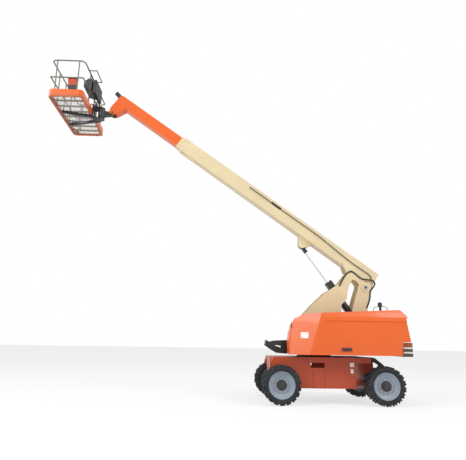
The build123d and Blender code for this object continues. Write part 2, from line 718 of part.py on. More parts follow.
def platform_rails():
    t = rail_tube
    inset = t / 2 + toe_thickness + 1
    x0, x1, y0, y1 = px0 + inset, px1 - inset, -py + inset, py - inset
    z_top = platform_z + platform_rail_height - t / 2
    gate0, gate1 = platform_x - gate_width / 2 - 45, platform_x + gate_width / 2 + 45
    body = None
    for z in (z_top, mid_rail_z):
        loop = [(gate0, y1, z, 0), (x0, y1, z, 80), (x0, y0, z, 130), (x1, y0, z, 130), (x1, y1, z, 80), (gate1, y1, z, 0)]
        run = bent_bar(loop, t, 2 if z == z_top else 1)
        body = run if body is None else body + run
    posts = [(x0 + 140, y0), (x1 - 140, y0), (x0, y0 + 640), (x1, y0 + 640), (x0, 0), (x1, 0), (x0, y1 - 640),
             (x1, y1 - 640), (gate0, y1), (gate1, y1)]
    for x, y in posts:
        body += post(x, y, t - 4, platform_z + floor_frame, z_top)
    hoop = bent_bar([(x1, -740, z_top, 0), (x1 + 215, -740, z_top, 90), (x1 + 215, -140, z_top, 90), (x1, -140, z_top, 0)],
                    t - 6, 1)
    return body + hoop


def gate():
    y = py - rail_tube / 2 - toe_thickness - 1
    x0, x1 = platform_x - gate_width / 2 + 5, platform_x + gate_width / 2 - 5
    z0, z1 = platform_z + 160, platform_z + platform_rail_height - rail_tube / 2
    body = bent_bar([(x0, y, z0, 0), (x0, y, z1, 60), (x1, y, z1, 60), (x1, y, z0, 0)], rail_tube, 1)
    for z in (mid_rail_z, platform_z + 185):
        body += extrude(Plane.YZ.offset(x0) * (Pos(y, z) * RegularPolygon(15, 8, major_radius=False, rotation=22.5)),
                        amount=x1 - x0)
    return body + shaft_z(x0, y, rail_tube + 8, platform_z + 240, platform_z + 300)


mid_rail_z = platform_z + 0.52 * platform_rail_height
save("platform_floor", platform_floor())
save("toe_boards", toe_boards())
save("platform_rails", platform_rails())
save("gate", gate())
rail_face = rail_tube + toe_thickness + 1
console_low = platform_z + 760
console_top = platform_z + platform_rail_height - rail_tube
console = plate_xz([(px1 - rail_face, console_low), (px1 - rail_face, console_top), (px1 - rail_face - 30, console_top + 40),
                    (px1 - rail_face - 230, console_top - 60), (px1 - rail_face - 230, console_low + 60)], -330, 330)
console += block(px1 + 0.5, px1 + 90, -330, 330, console_low - 120, console_top - 20)
console += block(px1 - rail_face - 1, px1 + 1, 40, 300, console_low + 10, console_low + 120)
save("platform_console", console)
box_back = -py + rail_face
box_right = px1 - 170
document_box = plate_xz([(box_right - 265, mid_rail_z), (box_right, mid_rail_z), (box_right - 25, mid_rail_z - 320),
                         (box_right - 240, mid_rail_z - 320)], box_back, box_back + 75)
save("document_box", document_box)
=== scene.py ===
# A telescopic boom lift dressed for a studio picture: paint, gelcoat, rubber, chrome and small fittings.
import json
import math

import bpy
from bpy.props import FloatProperty, FloatVectorProperty, IntProperty, PointerProperty
from mathutils import Matrix, Vector


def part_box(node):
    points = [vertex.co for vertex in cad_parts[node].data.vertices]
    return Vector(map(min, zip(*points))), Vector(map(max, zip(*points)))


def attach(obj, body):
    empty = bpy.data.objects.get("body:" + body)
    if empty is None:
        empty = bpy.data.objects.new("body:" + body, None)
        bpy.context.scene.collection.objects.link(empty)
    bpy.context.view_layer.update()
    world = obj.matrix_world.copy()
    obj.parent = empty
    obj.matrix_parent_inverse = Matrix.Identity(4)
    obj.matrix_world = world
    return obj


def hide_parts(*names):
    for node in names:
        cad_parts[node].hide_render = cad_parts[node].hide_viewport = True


bl_info = {
    "name": "Boom lift dressing",
    "version": (1, 0, 0),
    "blender": (4, 5, 0),
    "location": "View3D > Sidebar > Boom Lift",
    "description": "Paints a telescopic boom lift and adds its small fittings, studio and camera",
    "category": "Object",
}

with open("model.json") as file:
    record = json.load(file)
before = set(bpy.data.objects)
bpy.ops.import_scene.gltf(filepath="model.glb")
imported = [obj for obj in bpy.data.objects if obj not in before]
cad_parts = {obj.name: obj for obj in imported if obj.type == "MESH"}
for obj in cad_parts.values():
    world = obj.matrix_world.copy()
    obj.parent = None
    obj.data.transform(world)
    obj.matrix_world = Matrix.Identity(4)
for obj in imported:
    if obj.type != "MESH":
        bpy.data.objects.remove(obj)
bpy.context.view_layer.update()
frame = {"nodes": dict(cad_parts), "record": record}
NODE_SLOTS = {part["node"]: part["material_slot"] for part in frame["record"]["subparts"]}


def middle(node):
    low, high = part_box(node)
    return (Vector(low) + Vector(high)) / 2


# Places that the fittings are measured from
REAR_WHEEL = middle("rim_rear_right")
FRONT_WHEEL = middle("rim_front_right")
WHEELBASE = FRONT_WHEEL.x - REAR_WHEEL.x
AXLE_MIDDLE = (REAR_WHEEL.x + FRONT_WHEEL.x) / 2
WHEEL_HEIGHT = middle("steer_cylinder").z
WHEEL_MIDDLE = Vector((REAR_WHEEL.x, 0, WHEEL_HEIGHT))
TYRE_LOW, TYRE_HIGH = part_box("tyre_rear_right")
TYRE_WIDTH = TYRE_HIGH[1] - TYRE_LOW[1]
WHEEL_FACE = -TYRE_LOW[1]
TYRE_RADIUS = WHEEL_HEIGHT - TYRE_LOW[2]
RIM_LOW, RIM_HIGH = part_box("rim_rear_right")
RIM_RADIUS = (RIM_HIGH[2] - RIM_LOW[2]) / 2
FLOOR_LOW, FLOOR_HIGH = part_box("platform_floor")
FLOOR_TOP = FLOOR_HIGH[2]
ENDS = ("rear", "front")
SIDES = {"right": -1, "left": 1}
TURN = 2 * math.pi
BOOM_RISE = Matrix.Rotation(math.radians(35.6), 4, "Y")
CYLINDER_ANGLE = math.radians(54.68)


def at(x, y, z):
    """A place measured from the middle between the axles, on the ground."""
    return Vector((x + AXLE_MIDDLE, y, z))


# The pins of the boom and of its lift cylinder
BOOM_PIVOT = at(1.171, 0, 2.899)
BARREL_PIN = at(1.130, 0, 1.750)
ROD_EYE = at(-0.5, 0, 4.05)


# Shader maths written as expressions
class Value:
    """A shader socket that can be used in sums, products and comparisons."""

    def __init__(self, tree, socket):
        self.tree = tree
        self.socket = socket

    def _math(self, operation, first, second):
        return self.tree.node("ShaderNodeMath", {"operation": operation}, {0: first, 1: second})

    def __add__(self, other):
        return self._math("ADD", self, other)

    def __sub__(self, other):
        return self._math("SUBTRACT", self, other)

    def __rsub__(self, other):
        return self._math("SUBTRACT", other, self)

    def __mul__(self, other):
        return self._math("MULTIPLY", self, other)

    def over(self, edge):
        return self._math("GREATER_THAN", self, edge)

    def under(self, edge):
        return self._math("LESS_THAN", self, edge)

    def between(self, low, high):
        return self.over(low) * self.under(high)

    def ramp(self, low, high):
        settings = {"clamp": True}
        values = {"Value": self, "From Min": low, "From Max": high, "To Min": 0.0, "To Max": 1.0}
        return self.tree.node("ShaderNodeMapRange", settings, values)


class Finish:
    """One material, and the nodes that make it."""

    def __init__(self, name, colour, roughness, metallic=0.0, coat=0.0):
        self.material = bpy.data.materials.new(name)
        self.material.use_nodes = True
        self.nodes = self.material.node_tree.nodes
        self.links = self.material.node_tree.links
        self.shader = self.nodes["Principled BSDF"]
        self.shader.inputs["Base Color"].default_value = (*colour, 1.0)
        self.shader.inputs["Roughness"].default_value = roughness
        self.shader.inputs["Metallic"].default_value = metallic
        self.shader.inputs["Coat Weight"].default_value = coat
        self.material.diffuse_color = (*colour, 1.0)

    def node(self, kind, settings, inputs):
        made = self.nodes.new(kind)
        for name, value in settings.items():
            setattr(made, name, value)
        for name, value in inputs.items():
            if isinstance(value, Value):
                self.links.new(value.socket, made.inputs[name])
            else:
                made.inputs[name].default_value = value
        return Value(self, made.outputs[0])

    def place(self):
        coordinates = self.nodes.new("ShaderNodeTexCoord")
        return Value(self, coordinates.outputs["Object"])

    def axis(self, letter):
        split = self.nodes.new("ShaderNodeSeparateXYZ")
        self.links.new(self.place().socket, split.inputs[0])
        return Value(self, split.outputs[letter])

    def noise(self, scale, detail=3.0, roughness=0.5):
        inputs = {"Vector": self.place(), "Scale": scale, "Detail": detail, "Roughness": roughness}
        return self.node("ShaderNodeTexNoise", {}, inputs)

    def mix(self, amount, first, second):
        made = self.nodes.new("ShaderNodeMix")
        made.data_type = "RGBA"
        factor, colour_a, colour_b = made.inputs[0], made.inputs[6], made.inputs[7]
        self.links.new(amount.socket, factor)
        for socket, value in ((colour_a, first), (colour_b, second)):
            if isinstance(value, Value):
                self.links.new(value.socket, socket)
            else:
                socket.default_value = (*value, 1.0)
        return Value(self, made.outputs[2])

    def drive(self, socket, value):
        self.links.new(value.socket, self.shader.inputs[socket])

    def bump(self, height, strength, distance):
        made = self.nodes.new("ShaderNodeBump")
        made.inputs["Strength"].default_value = strength
        made.inputs["Distance"].default_value = distance
        self.links.new(height.socket, made.inputs["Height"])
        self.links.new(made.outputs["Normal"], self.shader.inputs["Normal"])


class LiftSettings(bpy.types.PropertyGroup):
    """Colours and sizes that a user would change."""

    gelcoat: FloatVectorProperty(name="Hood orange", description="Colour of the moulded hoods",
                                 subtype="COLOR", size=3, default=(0.76, 0.115, 0.006))
    steel_orange: FloatVectorProperty(name="Steel orange", description="Colour of the painted orange steel",
                                      subtype="COLOR", size=3, default=(0.45, 0.050, 0.006))
    cream: FloatVectorProperty(name="Boom cream", description="Colour of the boom and its upright",
                               subtype="COLOR", size=3, default=(0.72, 0.60, 0.37))
    rim_grey: FloatVectorProperty(name="Rim grey", description="Colour of the wheel rims",
                                  subtype="COLOR", size=3, default=(0.30, 0.36, 0.43))
    tyre_black: FloatVectorProperty(name="Tyre black", description="Colour of the rubber",
                                    subtype="COLOR", size=3, default=(0.010, 0.011, 0.014))
    rail_grey: FloatVectorProperty(name="Rail grey", description="Colour of the platform tubes",
                                   subtype="COLOR", size=3, default=(0.15, 0.14, 0.10))
    dust: FloatProperty(name="Dust", description="How dusty the lower pieces are",
                        default=0.10, min=0, max=1)
    tread_bars: IntProperty(name="Tread bars", description="Bars round each shoulder of a tyre",
                            default=18, min=8, max=40)
    mesh_pitch: FloatProperty(name="Floor mesh pitch",
                              description="Width of one opening of the platform floor",
                              default=0.05, subtype="DISTANCE", unit="LENGTH")
    mesh_wire: FloatProperty(name="Floor mesh wire", description="Width of a strand of the platform floor",
                             default=0.005, subtype="DISTANCE", unit="LENGTH")
    hose_radius: FloatProperty(name="Hose radius", description="Half the thickness of the boom's hose bundle",
                               default=0.021, subtype="DISTANCE", unit="LENGTH")


def settings():
    return bpy.context.scene.boom_lift


# Finishes
DUST_COLOUR = (0.42, 0.36, 0.29)
CHROME_COLOUR = (0.70, 0.71, 0.73)
ENAMEL_BLACK = (0.02, 0.02, 0.022)
BAND_BROWN = (0.30, 0.075, 0.02)
BAND_WHITE = (0.62, 0.60, 0.56)
TAIL_BANDS = ((BAND_BROWN, 1.36, 1.47), (BAND_WHITE, 1.319, 1.358), (BAND_WHITE, 1.211, 1.251))
ROD_BLACK_LENGTH = 0.24
BOX_BLACK_SHARE = 0.36
FRAME_WIDTH = 0.046


def shaded(colour, share):
    return tuple(channel * share for channel in colour)


def lightened(colour, share, added):
    return tuple(min(1.0, channel * share + added) for channel in colour)


def painted_steel(name, colour, roughness=0.42, coat=0.12, dust_top=1.2, zones=()):
    """Painted steel; each zone is a colour and a function that gives its mask."""
    finish = Finish(name, colour, roughness, coat=coat)
    fine = finish.noise(14.0, 4.0, 0.6)
    painted = finish.mix(finish.noise(1.7, 4.0).ramp(0.35, 0.7), shaded(colour, 0.90), colour)
    for zone_colour, mask in zones:
        painted = finish.mix(mask(finish), painted, zone_colour)
    low = 1.0 - finish.axis("Z").ramp(0.1, dust_top)
    dust = low * fine.ramp(0.40, 0.65) * settings().dust
    finish.drive("Base Color", finish.mix(dust, painted, DUST_COLOUR))
    finish.drive("Roughness", fine * 0.04 + (roughness - 0.02) + dust * 0.3)
    return finish.material


def gelcoat(name, colour):
    finish = Finish(name, colour, 0.36, coat=0.18)
    patches = finish.noise(1.1, 3.0).ramp(0.3, 0.75)
    finish.drive("Base Color", finish.mix(patches, shaded(colour, 0.92), colour))
    finish.drive("Roughness", finish.noise(18.0, 4.0, 0.6) * 0.08 + 0.32)
    finish.bump(finish.noise(9.0, 2.0), 0.03, 0.004)
    return finish.material


def rubber(name, colour):
    finish = Finish(name, colour, 0.78)
    grain = finish.noise(60.0, 5.0, 0.6)
    low = 1.0 - finish.axis("Z").ramp(0.02, 0.9)
    mask = finish.noise(6.0, 3.0).ramp(0.45, 0.7) * (low * 0.5 + 0.25)
    finish.drive("Base Color", finish.mix(mask, colour, lightened(colour, 2.2, 0.02)))
    finish.drive("Roughness", grain * 0.15 + 0.68)
    finish.bump(grain, 0.25, 0.002)
    return finish.material


def chrome(name, black_end):
    """Chrome, with black enamel where the mask of its end is 1."""
    finish = Finish(name, CHROME_COLOUR, 0.18, metallic=1.0)
    end = black_end(finish)
    finish.drive("Base Color", finish.mix(end, CHROME_COLOUR, ENAMEL_BLACK))
    finish.drive("Metallic", 1.0 - end)
    finish.drive("Roughness", finish.noise(50.0) * 0.12 + 0.12 + end * 0.3)
    return finish.material


def plain_metal(name, colour, roughness):
    finish = Finish(name, colour, roughness, metallic=1.0)
    grain = finish.noise(90.0, 4.0, 0.6)
    finish.drive("Base Color", finish.mix(grain.ramp(0.4, 0.7), colour, shaded(colour, 0.75)))
    finish.drive("Roughness", grain * 0.2 + (roughness - 0.1))
    finish.bump(grain, 0.1, 0.0008)
    return finish.material


def moulded_plastic(name, colour, roughness=0.55):
    finish = Finish(name, colour, roughness)
    grain = finish.noise(160.0, 3.0, 0.6)
    patches = finish.noise(7.0, 2.0).ramp(0.45, 0.75)
    finish.drive("Base Color", finish.mix(patches, colour, lightened(colour, 1.5, 0.008)))
    finish.drive("Roughness", grain * 0.15 + (roughness - 0.07))
    finish.bump(grain, 0.2, 0.0006)
    return finish.material


def tail_bands():
    return [(colour, lambda finish, low=low, high=high: finish.axis("Z").between(low, high))
            for colour, low, high in TAIL_BANDS]


def rod_end(finish):
    """1 on the last length of the lift cylinder's rod, next to its eye."""
    along = Vector((-math.cos(CYLINDER_ANGLE), 0, math.sin(CYLINDER_ANGLE)))
    reach = finish.axis("X") * along.x + finish.axis("Z") * along.z
    return reach.over(along.dot(ROD_EYE) - ROD_BLACK_LENGTH)


def box_base(finish):
    low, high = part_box("document_box")
    return finish.axis("Z").under(low[2] + BOX_BLACK_SHARE * (high[2] - low[2]))


def floor_edge(finish):
    inside = (finish.axis("X").between(FLOOR_LOW[0] + FRAME_WIDTH, FLOOR_HIGH[0] - FRAME_WIDTH)
              * finish.axis("Y").between(FLOOR_LOW[1] + FRAME_WIDTH, FLOOR_HIGH[1] - FRAME_WIDTH))
    return 1.0 - inside


def boom_side_posts(finish):
    low = FLOOR_HIGH[0] - 0.06
    return finish.axis("X").between(low, low + 0.08) * finish.axis("Y").between(-0.9, 0.9)


def make_finishes():
    s = settings()
    dark_posts = ((0.05, 0.025, 0.015), boom_side_posts)
    frame_edge = ((0.46, 0.10, 0.03), floor_edge)
    return {
        "tyre": rubber("Tyre rubber", s.tyre_black),
        "rim_paint": painted_steel("Rim paint", s.rim_grey, 0.42, 0.1, 1.0),
        "chassis_paint": painted_steel("Chassis orange", s.steel_orange, 0.42, 0.12, 1.1),
        "shell_orange": gelcoat("Hood gelcoat", s.gelcoat),
        "document_box": painted_steel("Document box", s.steel_orange, zones=[(ENAMEL_BLACK, box_base)]),
        "boom_orange": gelcoat("Boom orange", s.gelcoat),
        "cream_paint": painted_steel("Cream paint", s.cream, 0.40, 0.12),
        "black_steel": painted_steel("Black enamel", (0.018, 0.018, 0.020), 0.42, 0.1, 1.0),
        "chrome_rod": chrome("Chrome rod", rod_end),
        "pin_steel": plain_metal("Zinc steel", (0.52, 0.51, 0.48), 0.42),
        "counterweight_paint": painted_steel("Counterweight paint", (0.06, 0.045, 0.04), 0.5, 0.0,
                                             zones=tail_bands()),
        "bearing": painted_steel("Bearing enamel", (0.09, 0.025, 0.015), 0.5, 0.0),
        "engine_black": moulded_plastic("Engine black", (0.03, 0.03, 0.032)),
        "rail_grey": painted_steel("Rail paint", s.rail_grey, 0.42, 0.1, zones=[dark_posts]),
        "floor_grey": painted_steel("Walkway black", (0.03, 0.03, 0.03), 0.6, 0.0),
        "floor_frame": painted_steel("Floor frame", (0.30, 0.27, 0.22), 0.5, 0.0, zones=[frame_edge]),
        "console_black": moulded_plastic("Console black", (0.018, 0.018, 0.020)),
        "hose": moulded_plastic("Hose rubber", (0.012, 0.012, 0.013), 0.6),
        "blank_plate": moulded_plastic("Blank plate", (0.72, 0.66, 0.60), 0.4),
        # The recess finish is painted shade: hood orange darkened to stand for the shaded hollow behind each
        # latch handle.
        "recess_shade": moulded_plastic("Latch recess painted shade", (0.10, 0.018, 0.012), 0.45),
        "red_button": moulded_plastic("Stop button", (0.55, 0.02, 0.015), 0.3),
    }


# Where a node's finish differs from its slot's own
NODE_FINISHES = {"document_box": "document_box", "platform_floor": "floor_frame", "swing_bearing": "bearing"}
FINISHES = {}


class LIFT_OT_paint(bpy.types.Operator):
    """Give every piece of the machine its finish"""

    bl_idname = "lift.paint"
    bl_label = "Paint the machine"

    def execute(self, context):
        FINISHES.update(make_finishes())
        for node, piece in frame["nodes"].items():
            piece.data.materials.clear()
            piece.data.materials.append(FINISHES[NODE_FINISHES.get(node, NODE_SLOTS[node])])
        return {"FINISHED"}


# Modelling helpers
def deselect():
    bpy.ops.object.select_all(action="DESELECT")


def choose(*pieces):
    deselect()
    for piece in pieces:
        piece.select_set(True)
    bpy.context.view_layer.objects.active = pieces[0]


def settle(piece, place):
    """Set a piece at a place and write that place into its mesh."""
    piece.matrix_world = place
    choose(piece)
    bpy.ops.object.transform_apply(location=True, rotation=True, scale=True)
    return piece


def soften(piece, width, segments=2):
    """Round the sharp edges of a piece."""
    choose(piece)
    modifier = piece.modifiers.new("Soft edges", "BEVEL")
    modifier.width = width
    modifier.segments = segments
    modifier.limit_method = "ANGLE"
    bpy.ops.object.modifier_apply(modifier=modifier.name)
    bpy.ops.object.shade_smooth_by_angle(angle=math.radians(40))
    return piece


def block(low, high, edge=0.0, turn=None):
    """A box between two corners, turned about its own middle."""
    low, high = Vector(low), Vector(high)
    deselect()
    bpy.ops.mesh.primitive_cube_add(size=1.0)
    size = Matrix.Diagonal((*(high - low), 1.0))
    place = Matrix.Translation((low + high) / 2) @ (turn or Matrix.Identity(4)) @ size
    piece = settle(bpy.context.object, place)
    return soften(piece, edge) if edge else piece


def rod(start, end, radius, sides=24, edge=0.0):
    """A round bar, or a nut where it has six sides."""
    start, end = Vector(start), Vector(end)
    along = end - start
    deselect()
    bpy.ops.mesh.primitive_cylinder_add(vertices=sides, radius=radius, depth=along.length)
    turn = along.to_track_quat("Z", "Y").to_matrix().to_4x4()
    piece = settle(bpy.context.object, Matrix.Translation((start + end) / 2) @ turn)
    if edge:
        return soften(piece, edge)
    bpy.ops.object.shade_smooth_by_angle(angle=math.radians(40))
    return piece


def spun(profile, centre, steps):
    """A closed (radius, depth) profile turned about a wheel's own axle."""
    deselect()
    bpy.ops.mesh.primitive_circle_add(vertices=len(profile), radius=1.0)
    piece = bpy.context.object
    for vertex, (radius, depth) in zip(piece.data.vertices, profile):
        vertex.co = (centre.x + radius, depth, centre.z)
    bpy.ops.object.mode_set(mode="EDIT")
    bpy.ops.mesh.select_all(action="SELECT")
    bpy.ops.mesh.spin(steps=steps, angle=2 * math.pi, center=centre, axis=(0.0, 1.0, 0.0))
    bpy.ops.mesh.select_all(action="SELECT")
    bpy.ops.mesh.remove_doubles(threshold=0.00005)
    bpy.ops.mesh.normals_make_consistent(inside=False)
    bpy.ops.object.mode_set(mode="OBJECT")
    bpy.ops.object.shade_smooth_by_angle(angle=math.radians(35))
    return piece


def copied(piece, place):
    """A copy of a piece with its own mesh, moved by a matrix."""
    twin = piece.copy()
    twin.data = piece.data.copy()
    bpy.context.scene.collection.objects.link(twin)
    twin.data.transform(place)
    return twin


def joined(name, pieces):
    choose(*pieces)
    if len(pieces) > 1:
        bpy.ops.object.join()
    piece = bpy.context.object
    piece.name = name
    piece.data.name = name
    return piece


def fit(name, pieces, body, slot, finish=None):
    """Join pieces into one fitting with a finish, on a body of the machine."""
    piece = joined(name, pieces)
    piece.data.materials.clear()
    piece.data.materials.append(FINISHES[finish or slot])
    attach(piece, body)
    return piece


def hose(name, route, radius, body):
    """A hose that is clipped to the machine along a smooth route."""
    line = bpy.data.curves.new(name, "CURVE")
    line.dimensions = "3D"
    line.bevel_depth = radius
    line.bevel_resolution = 3
    line.use_fill_caps = True
    spline = line.splines.new("NURBS")
    spline.points.add(len(route) - 1)
    for point, place in zip(spline.points, route):
        point.co = (*place, 1.0)
    spline.order_u = 3
    spline.use_endpoint_u = True
    spline.resolution_u = 8
    piece = bpy.data.objects.new(name, line)
    bpy.context.scene.collection.objects.link(piece)
    choose(piece)
    bpy.ops.object.convert(target="MESH")
    return fit(name, [bpy.context.object], body, "engine_black", "hose")


def half_turn(x, y):
    """Half a turn about an upright line."""
    about = Matrix.Translation((x, y, 0))
    return about @ Matrix.Rotation(math.pi, 4, "Z") @ about.inverted()


def mirrored(piece):
    """The piece moved to the machine's other side, with its faces still outwards."""
    twin = copied(piece, Matrix.Diagonal((1.0, -1.0, 1.0, 1.0)))
    bpy.data.objects.remove(piece)
    choose(twin)
    bpy.ops.object.mode_set(mode="EDIT")
    bpy.ops.mesh.select_all(action="SELECT")
    bpy.ops.mesh.normals_make_consistent(inside=False)
    bpy.ops.object.mode_set(mode="OBJECT")
    return twin


# Wheels, modelled at the right rear and copied to the other three places
TYRE_STEPS = 72
RIM_STEPS = 64
RIM_REACH = 0.320
BAR_SLANT = Matrix.Rotation(math.radians(24), 4, "Z")
BAR_HALF_WIDTH = 0.023
BAR_LENGTH = 0.165
BAR_DEPTH = 0.030
DISC_FACE = -WHEEL_FACE + 0.125
HUB_RADIUS = 0.120
HUB_FACE = DISC_FACE - 0.055
HUB_BOLTS = 8
WHEEL_NUTS = 9


def to_all_wheels(name, piece, slot, node=None):
    """Copy a right rear piece to each wheel; a left one is turned half round to face outwards."""
    for end in ENDS:
        for side_name, side in SIDES.items():
            place = half_turn(REAR_WHEEL.x, 0) if side > 0 else Matrix.Identity(4)
            if end == "front":
                place = Matrix.Translation((WHEELBASE, 0, 0)) @ place
            wheel = fit(f"{name}_{end}_{side_name}", [copied(piece, place)], f"wheel_{end}_{side_name}", slot)
            if node:
                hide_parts(f"{node}_{end}_{side_name}")
    bpy.data.objects.remove(piece)


def round_wheel(piece, count, start=0.0):
    """Copies of a piece spaced round the axle, in place of the piece."""
    to_middle = Matrix.Translation(WHEEL_MIDDLE)
    angles = [(n + start) * TURN / count for n in range(count)]
    copies = [copied(piece, to_middle @ Matrix.Rotation(angle, 4, "Y") @ to_middle.inverted())
              for angle in angles]
    bpy.data.objects.remove(piece)
    return copies


def axle_rod(reach, outer, inner, radius, sides, edge=0.0):
    """A bar along the axle, at a reach from its middle, between two depths."""
    x, z = WHEEL_MIDDLE.x + reach, WHEEL_MIDDLE.z
    return rod((x, outer, z), (x, inner, z), radius, sides, edge)


def tyre_profile():
    """The tyre's section as (radius, depth), from the outer bead over the tread to the inner bead."""
    top = TYRE_RADIUS
    half = [(RIM_RADIUS - 0.004, 0.060), (RIM_RADIUS - 0.002, 0.030), (RIM_RADIUS + 0.014, 0.014),
            (RIM_RADIUS + 0.040, 0.006), (top - 0.075, 0.005), (top - 0.048, 0.012), (top - 0.030, 0.030),
            (top - 0.024, 0.065), (top - 0.022, 0.120)]
    outer = [(radius, -WHEEL_FACE + depth) for radius, depth in half]
    inner = [(radius, -WHEEL_FACE + TYRE_WIDTH - depth) for radius, depth in reversed(half)]
    return outer + inner


def tread_bar():
    """One slanted bar of the tread's shoulder at the top of the tyre, with a block on the sidewall."""
    x, face, top = WHEEL_MIDDLE.x, -WHEEL_FACE, WHEEL_MIDDLE.z + TYRE_RADIUS
    bar = block((x - BAR_HALF_WIDTH, face + 0.006, top - BAR_DEPTH),
                (x + BAR_HALF_WIDTH, face + BAR_LENGTH, top), 0.005, BAR_SLANT)
    wall = block((x - 0.062, face + 0.003, top - 0.075), (x - 0.018, face + BAR_DEPTH, top - 0.006), 0.006)
    return joined("tread_bar", [bar, wall])


def wall_ring(radius):
    """A fine raised ring on the tyre's outer wall."""
    foot, crest = -WHEEL_FACE + 0.008, -WHEEL_FACE + 0.0015
    return spun([(radius - 0.003, foot), (radius, crest), (radius + 0.003, foot)], WHEEL_MIDDLE, TYRE_STEPS)


class LIFT_OT_tyres(bpy.types.Operator):
    """Mould the four tyres with their tread bars"""

    bl_idname = "lift.tyres"
    bl_label = "Mould the tyres"

    def execute(self, context):
        count = settings().tread_bars
        pieces = [spun(tyre_profile(), WHEEL_MIDDLE, TYRE_STEPS)]
        bar = tread_bar()
        other_shoulder = copied(bar, half_turn(WHEEL_MIDDLE.x, -WHEEL_FACE + TYRE_WIDTH / 2))
        pieces += round_wheel(bar, count)
        pieces += round_wheel(other_shoulder, count, 0.5)
        pieces += [wall_ring(RIM_RADIUS + 0.030), wall_ring(TYRE_RADIUS - 0.090)]
        to_all_wheels("rubber", joined("rubber", pieces), "tyre", "tyre")
        return {"FINISHED"}


def rim_profile():
    """The rim's section as (radius, depth): outer flange, dished disc, and back along its inside."""
    face, disc, bead = -WHEEL_FACE, DISC_FACE, RIM_RADIUS
    return [(bead, face + 0.040), (bead + 0.006, face + 0.030), (bead - 0.004, face + 0.024),
            (bead - 0.016, face + 0.034), (bead - 0.024, face + 0.070), (bead - 0.045, disc - 0.020),
            (bead - 0.075, disc - 0.004), (0.190, disc + 0.004), (0.176, disc - 0.012),
            (0.118, disc - 0.012), (0.118, disc + 0.014), (bead - 0.060, disc + 0.018),
            (bead - 0.014, disc + 0.050), (bead - 0.010, face + RIM_REACH - 0.002),
            (bead - 0.001, face + RIM_REACH)]


class LIFT_OT_rims(bpy.types.Operator):
    """Press the four rims, with hubs and wheel nuts"""

    bl_idname = "lift.rims"
    bl_label = "Press the rims"

    def execute(self, context):
        rim = spun(rim_profile(), WHEEL_MIDDLE, RIM_STEPS)
        to_all_wheels("rim_press", rim, "rim_paint", "rim")
        hub = [axle_rod(0, DISC_FACE + 0.012, HUB_FACE, HUB_RADIUS, 40, 0.010),
               axle_rod(0, HUB_FACE + 0.005, HUB_FACE - 0.030, 0.078, 32, 0.008)]
        hub += round_wheel(axle_rod(0.100, HUB_FACE + 0.003, HUB_FACE - 0.011, 0.009, 6), HUB_BOLTS)
        to_all_wheels("hub", joined("hub", hub), "black_steel")
        nut = axle_rod(0.150, DISC_FACE - 0.010, DISC_FACE - 0.040, 0.016, 6)
        to_all_wheels("wheel_nuts", joined("wheel_nuts", round_wheel(nut, WHEEL_NUTS, 0.5)), "pin_steel")
        return {"FINISHED"}


# The hoods: their front edges, the way the right hood's nose facet faces, and a point on it
HOOD_FRONTS = {"right": -1.005, "left": -0.800}
FACET = Vector((-0.509, -0.844, 0.168)).normalized()
FACET_BACK = 0.585
FACET_Y = -1.203
FACET_Z = 1.45
HOOD_WALL_Y = -1.193
HOOD_LEAN = Matrix.Rotation(math.radians(-5.7), 4, "X")
HINGE_Y = -0.484
HINGE_Z = 2.135
HINGE_LENGTH = 0.08


def facet_plate(front, x, z, size, edge):
    """A flat piece on the nose facet, its size given as width, thickness and height."""
    base = Vector((front + FACET_BACK, FACET_Y, FACET_Z))
    y = base.y - (FACET.x * (x - base.x) + FACET.z * (z - base.z)) / FACET.y
    across = Vector((0, 0, 1)).cross(FACET).normalized()
    turn = Matrix((across, FACET, FACET.cross(across))).transposed().to_4x4()
    proud = size[1] / 2 - 0.001
    deselect()
    bpy.ops.mesh.primitive_cube_add(size=1.0)
    place = Matrix.Translation(at(x, y, z) + FACET * proud) @ turn
    return soften(settle(bpy.context.object, place @ Matrix.Diagonal((*size, 1.0))), edge)


def hood_pieces(front):
    """The right hood's fittings by name: the pieces, their finish and their slot."""
    shift = front - HOOD_FRONTS["right"]
    wall = HOOD_WALL_Y
    # This dark plate is painted shade: it stands proud of the hood wall in place of the shaded hollow of the
    # latch recess.
    recess_shade_plate = block(at(0.205, wall - 0.012, 1.245), at(0.452, wall, 1.328), 0.008)
    handle = block(at(0.255, wall - 0.024, 1.268), at(0.400, wall - 0.008, 1.300), 0.006)
    plate = facet_plate(front, -0.651 + shift, 1.61, (0.20, 0.004, 0.145), 0.001)
    reflector = facet_plate(front, -0.93 + shift, 1.845, (0.022, 0.010, 0.12), 0.003)
    seam = [block(at(1.684, -1.195, 1.240), at(1.696, -1.187, 1.450), 0.0, HOOD_LEAN),
            block(at(1.684, -1.182, 1.152), at(1.696, -1.172, 1.240))]
    hinges = [rod(at(x, HINGE_Y, HINGE_Z), at(x + HINGE_LENGTH, HINGE_Y, HINGE_Z), 0.019, 16)
              for x in (0.05 + shift, 0.45, 0.80)]
    return {
        "latch_recess_shade": ([recess_shade_plate], "recess_shade", "shell_orange"),
        "latch_handle": ([handle], "console_black", "console_black"),
        "bare_plate": ([plate], "blank_plate", "shell_orange"),
        "reflector": ([reflector], "console_black", "console_black"),
        "seam": (seam, "engine_black", "engine_black"),
        "hinge_knuckles": (hinges, "pin_steel", "pin_steel"),
    }


class LIFT_OT_hood_fittings(bpy.types.Operator):
    """Add the latches with painted shade in their recesses, bare plates, reflectors, seams and hinges of the
    hoods
    """

    bl_idname = "lift.hood_fittings"
    bl_label = "Fit the hoods out"

    def execute(self, context):
        for side_name, front in HOOD_FRONTS.items():
            for name, (pieces, finish, slot) in hood_pieces(front).items():
                piece = joined(f"{name}_{side_name}", pieces)
                if side_name == "left":
                    piece = mirrored(piece)
                fit(f"{name}_{side_name}", [piece], f"hood_{side_name}", slot, finish)
        return {"FINISHED"}


def circle(count, radius, start=0.0):
    """Pairs of offsets round a circle."""
    angles = [start + n * TURN / count for n in range(count)]
    return [(math.cos(angle) * radius, math.sin(angle) * radius) for angle in angles]


